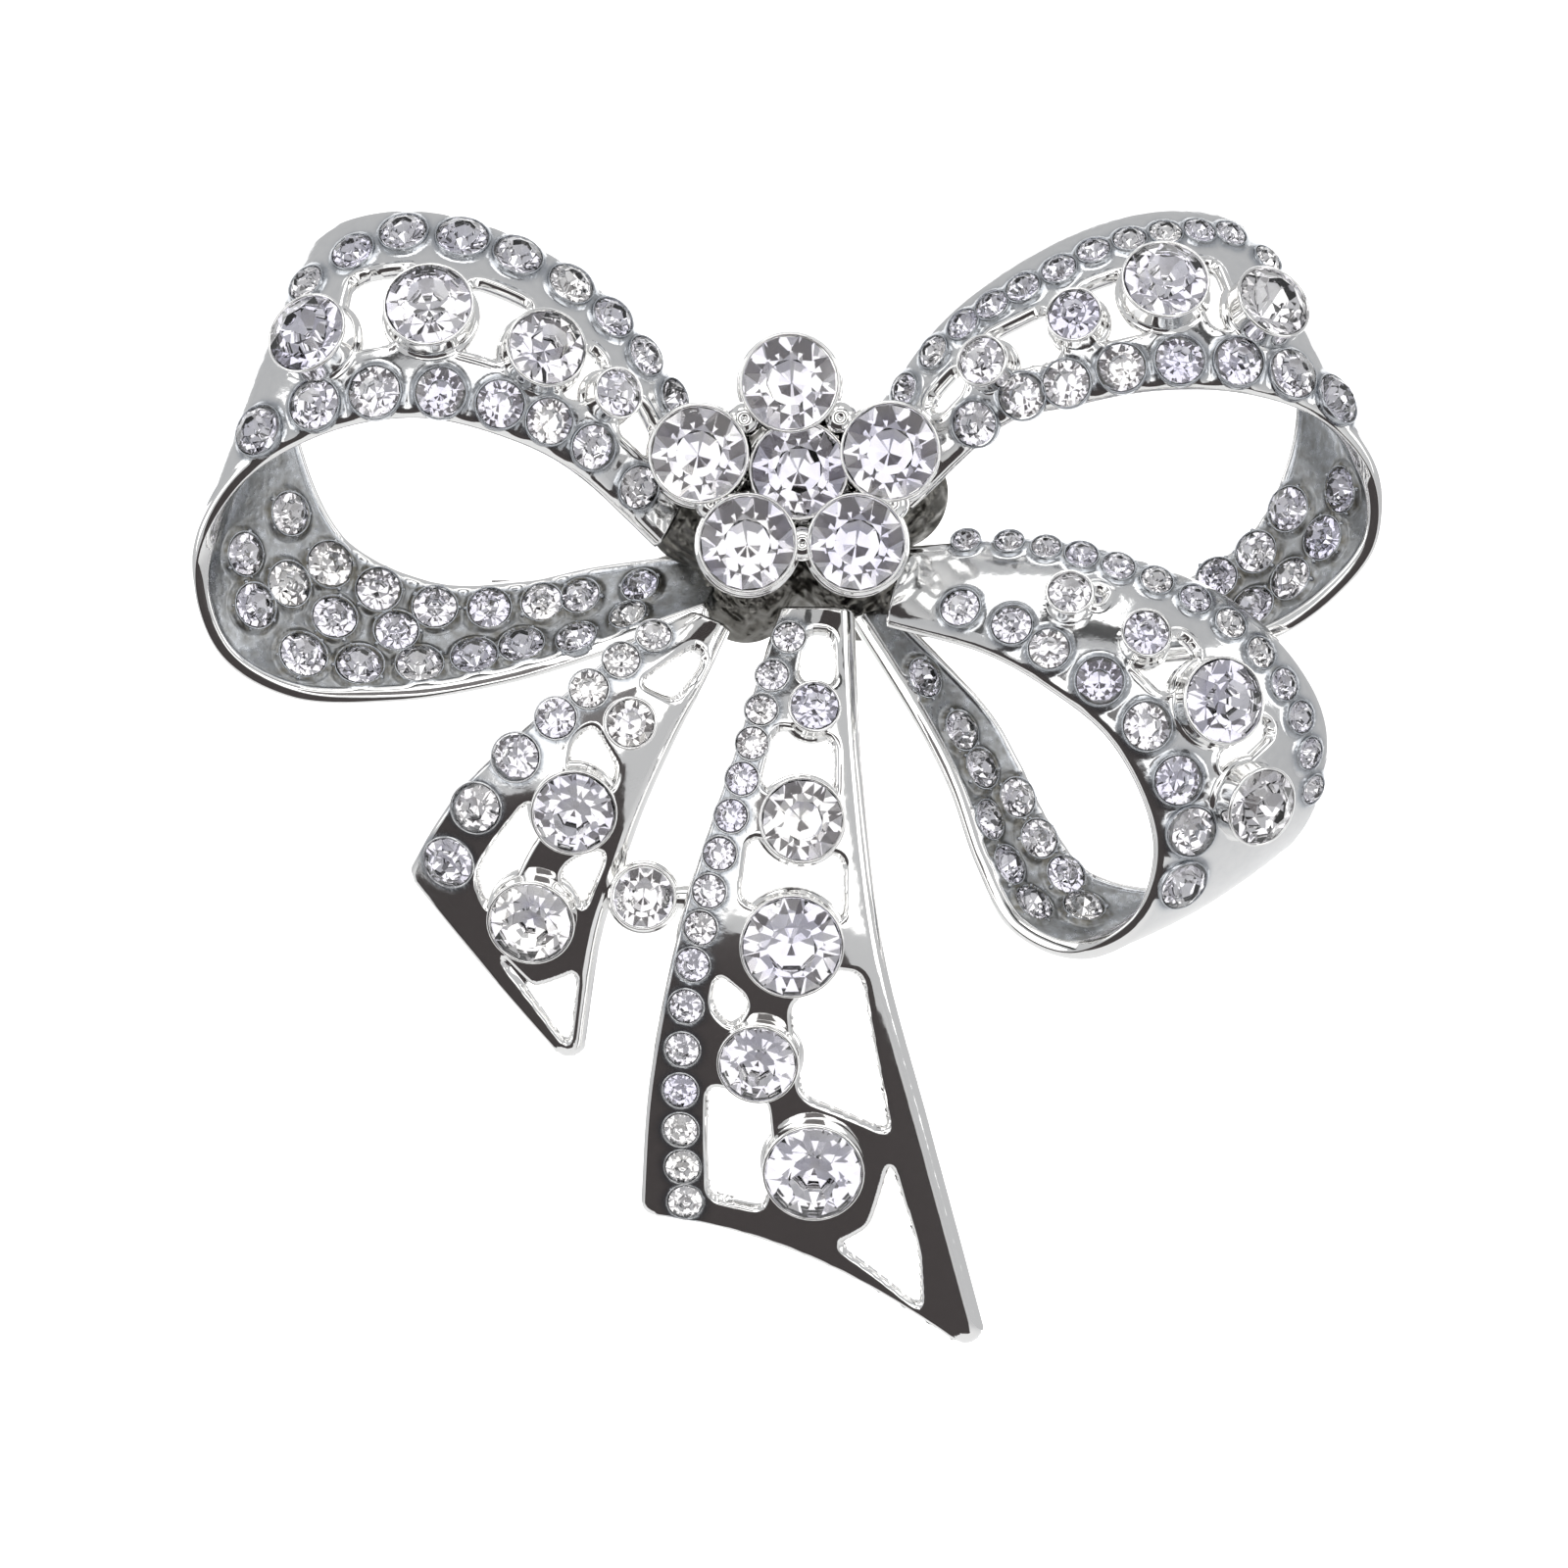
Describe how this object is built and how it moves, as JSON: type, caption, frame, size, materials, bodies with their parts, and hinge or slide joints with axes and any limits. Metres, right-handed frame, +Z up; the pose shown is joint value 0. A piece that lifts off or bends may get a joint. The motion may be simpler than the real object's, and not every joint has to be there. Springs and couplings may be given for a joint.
{
  "type": "bow brooch",
  "caption": "Ribbon-bow brooch with openwork loops and tails set with clear crystal stones, a flower-shaped knot, and a hinged pin with a roll-over safety catch.",
  "frame": {"origin": "on the pin stem's axis, half way between the two loops, behind the knot", "axes": "+X to the right of someone facing the stones, +Z up as worn, the stones face -Y"},
  "size_m": [0.0544, 0.0146, 0.0522],
  "materials": {
    "rhodium": "bright rhodium-coloured plating on cast alloy",
    "crystal": "clear faceted glass with a mirror foil back",
    "findings": "plated stamped brass, satin to bright",
    "pin_steel": "drawn steel wire, polished"
  },
  "bodies": {
    "brooch": {"left_loop": "rhodium", "left_loop_cups": "rhodium", "left_loop_stones": "crystal", "left_loop_large_stones": "crystal", "left_loop_pave_stones": "crystal", "right_loop": "rhodium", "right_loop_cups": "rhodium", "right_loop_stones": "crystal", "right_loop_large_stones": "crystal", "right_loop_pave_stones": "crystal", "lower_loop": "rhodium", "lower_loop_cups": "rhodium", "lower_loop_stones": "crystal", "lower_loop_large_stones": "crystal", "lower_loop_pave_stones": "crystal", "short_tail": "rhodium", "short_tail_cups": "rhodium", "short_tail_stones": "crystal", "short_tail_large_stones": "crystal", "long_tail": "rhodium", "long_tail_cups": "rhodium", "long_tail_stones": "crystal", "long_tail_large_stones": "crystal", "tail_link": "rhodium", "tail_link_stone": "crystal", "knot_base": "rhodium", "flower_cups": "rhodium", "flower_stones": "crystal", "bar_plate": "findings", "hinge_bracket": "findings", "hinge_rivet": "pin_steel", "catch_housing": "findings"},
    "pin": {"pin_stem": "pin_steel"},
    "roller": {"catch_roller": "findings"}
  },
  "joints": [
    {"name": "pin_hinge", "type": "hinge", "parent": "brooch", "child": "pin", "pos_m": [-0.012, 0, 0], "axis": [0, 0, 1], "range_deg": [0, 75]},
    {"name": "catch_roller_turn", "type": "hinge", "parent": "brooch", "child": "roller", "pos_m": [0.01215, 0, 0], "axis": [1, 0, 0], "range_deg": [0, 150]}
  ]
}
